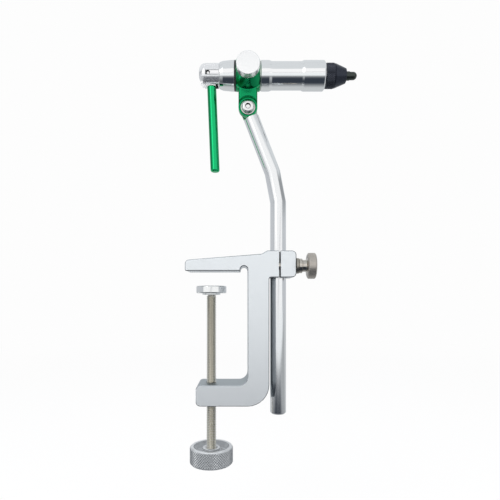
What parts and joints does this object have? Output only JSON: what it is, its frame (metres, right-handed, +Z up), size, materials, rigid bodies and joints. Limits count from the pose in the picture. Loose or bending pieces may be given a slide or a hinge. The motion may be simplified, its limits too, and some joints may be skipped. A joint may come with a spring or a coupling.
{
  "type": "fly tying vise",
  "caption": "Fly tying vise with a rotary collet jaw head on a bent stem, held by a C-clamp for a table edge, with a hanging cam lever.",
  "frame": {"origin": "on the underside of the clamp's top arm, where the clamp screw's axis meets it, half way through the frame's thickness", "axes": "+X from the throat towards the jaws, +Z up along the clamp screw and the stem, -Y towards the viewer of the picture"},
  "size_m": [0.1026, 0.029, 0.2431],
  "materials": {
    "blasted_aluminium": "bead blasted and clear anodised",
    "polished_aluminium": "polished",
    "satin_aluminium": "satin",
    "green_anodised": "green anodised, glossy",
    "black_anodised": "black anodised, satin",
    "polished_steel": "polished",
    "turned_steel": "turned, warm grey",
    "nickel_steel": "nickel plated",
    "dark_steel": "hardened and blackened",
    "bronze": "turned",
    "black_plastic": "matte",
    "white_plastic": "matte"
  },
  "bodies": {
    "frame": {"clamp_frame": "blasted_aluminium"},
    "pad": {"clamp_pad": "satin_aluminium", "pad_clip": "turned_steel"},
    "screw": {"clamp_screw": "turned_steel", "clamp_knob": "satin_aluminium", "knob_nut": "nickel_steel"},
    "thumb_washer": {"thumb_washer": "turned_steel"},
    "thumb_screw": {"thumb_screw": "nickel_steel"},
    "liner": {"stem_liner": "black_plastic"},
    "stem": {"stem": "polished_steel", "pivot_screw": "polished_steel", "pivot_nut": "nickel_steel", "pivot_washer": "nickel_steel", "lap_washer": "black_plastic"},
    "yoke": {"yoke": "green_anodised", "thrust_washer": "black_plastic", "front_washer": "nickel_steel"},
    "drag_plug": {"drag_plug": "white_plastic"},
    "drag_knob": {"drag_knob": "polished_aluminium"},
    "barrel": {"barrel_front": "polished_aluminium", "barrel_sleeve": "polished_aluminium", "rear_cap": "polished_aluminium", "lever_pin": "nickel_steel", "guide_bush": "bronze", "return_spring": "turned_steel"},
    "lever": {"lever_cam": "nickel_steel", "lever_rod": "green_anodised"},
    "draw_rod": {"draw_rod": "turned_steel", "draw_collar": "turned_steel"},
    "nose_cone": {"nose_cone": "black_anodised"},
    "nose_ring": {"nose_ring": "black_anodised"},
    "jaw_near": {"jaw_near": "dark_steel"},
    "jaw_far": {"jaw_far": "dark_steel"}
  },
  "joints": [
    {"name": "pad_travel", "type": "slide", "parent": "frame", "child": "pad", "axis": [0, 0, 1], "range_m": [-0.052, 0.0085]},
    {"name": "screw_turn", "type": "hinge", "parent": "pad", "child": "screw", "pos_m": [0, 0, -0.06], "axis": [0, 0, 1], "range_deg": [-18720.01, 3060.01]},
    {"name": "thumb_travel", "type": "slide", "parent": "frame", "child": "thumb_washer", "axis": [1, 0, 0], "range_m": [0, 0.0014]},
    {"name": "thumb_turn", "type": "hinge", "parent": "thumb_washer", "child": "thumb_screw", "pos_m": [0.05021, -0.00766, 0.003], "axis": [1, 0, 0], "range_deg": [-0.01, 720.01]},
    {"name": "stem_swivel", "type": "hinge", "parent": "frame", "child": "liner", "pos_m": [0.04031, 0, 0], "axis": [0, 0, 1], "continuous": true},
    {"name": "stem_height", "type": "slide", "parent": "liner", "child": "stem", "axis": [0, 0, 1], "range_m": [-0.027, 0.07]},
    {"name": "head_tilt", "type": "hinge", "parent": "stem", "child": "yoke", "pos_m": [0.02205, 0, 0.09818], "axis": [0, 1, 0], "range_deg": [-35, 70]},
    {"name": "drag_travel", "type": "slide", "parent": "yoke", "child": "drag_plug", "axis": [0, 1, 0], "range_m": [-0.0007, 0]},
    {"name": "drag_turn", "type": "hinge", "parent": "drag_plug", "child": "drag_knob", "pos_m": [0.02205, -0.0107, 0.11838], "axis": [0, 1, 0], "range_deg": [-360.01, 0.01]},
    {"name": "barrel_spin", "type": "hinge", "parent": "yoke", "child": "barrel", "pos_m": [0.02205, 0, 0.11838], "axis": [1, 0, 0], "continuous": true},
    {"name": "draw_travel", "type": "slide", "parent": "barrel", "child": "draw_rod", "axis": [1, 0, 0], "range_m": [-0.001, 0], "deforming": ["return_spring"]},
    {"name": "lever_swing", "type": "hinge", "parent": "barrel", "child": "lever", "pos_m": [-0.00155, 0, 0.11718], "axis": [0, 1, 0], "range_deg": [-0.01, 90.01]},
    {"name": "nose_feed", "type": "slide", "parent": "barrel", "child": "nose_cone", "axis": [1, 0, 0], "range_m": [0, 0.001]},
    {"name": "nose_turn", "type": "hinge", "parent": "nose_cone", "child": "nose_ring", "pos_m": [0.06865, 0, 0.11838], "axis": [1, 0, 0], "range_deg": [-0.01, 480.01]},
    {"name": "jaw_near_spread", "type": "hinge", "parent": "draw_rod", "child": "jaw_near", "pos_m": [0.06185, 0, 0.11838], "axis": [0, 0, 1], "range_deg": [-0.8001, 0.0001]},
    {"name": "jaw_far_spread", "type": "hinge", "parent": "draw_rod", "child": "jaw_far", "pos_m": [0.06185, 0, 0.11838], "axis": [0, 0, 1], "range_deg": [-0.0001, 0.8001]}
  ],
  "couplings": [
    {"joint": "screw_turn", "follows": "pad_travel", "rad_per_m": 6283.2},
    {"joint": "thumb_turn", "follows": "thumb_travel", "rad_per_m": 8976},
    {"joint": "drag_turn", "follows": "drag_travel", "rad_per_m": 8976},
    {"joint": "lever_swing", "follows": "draw_travel", "rad_per_m": -1570.8},
    {"joint": "jaw_near_spread", "follows": "draw_travel", "rad_per_m": 13.963},
    {"joint": "jaw_far_spread", "follows": "draw_travel", "rad_per_m": -13.963},
    {"joint": "nose_turn", "follows": "nose_feed", "rad_per_m": 8377.6}
  ]
}
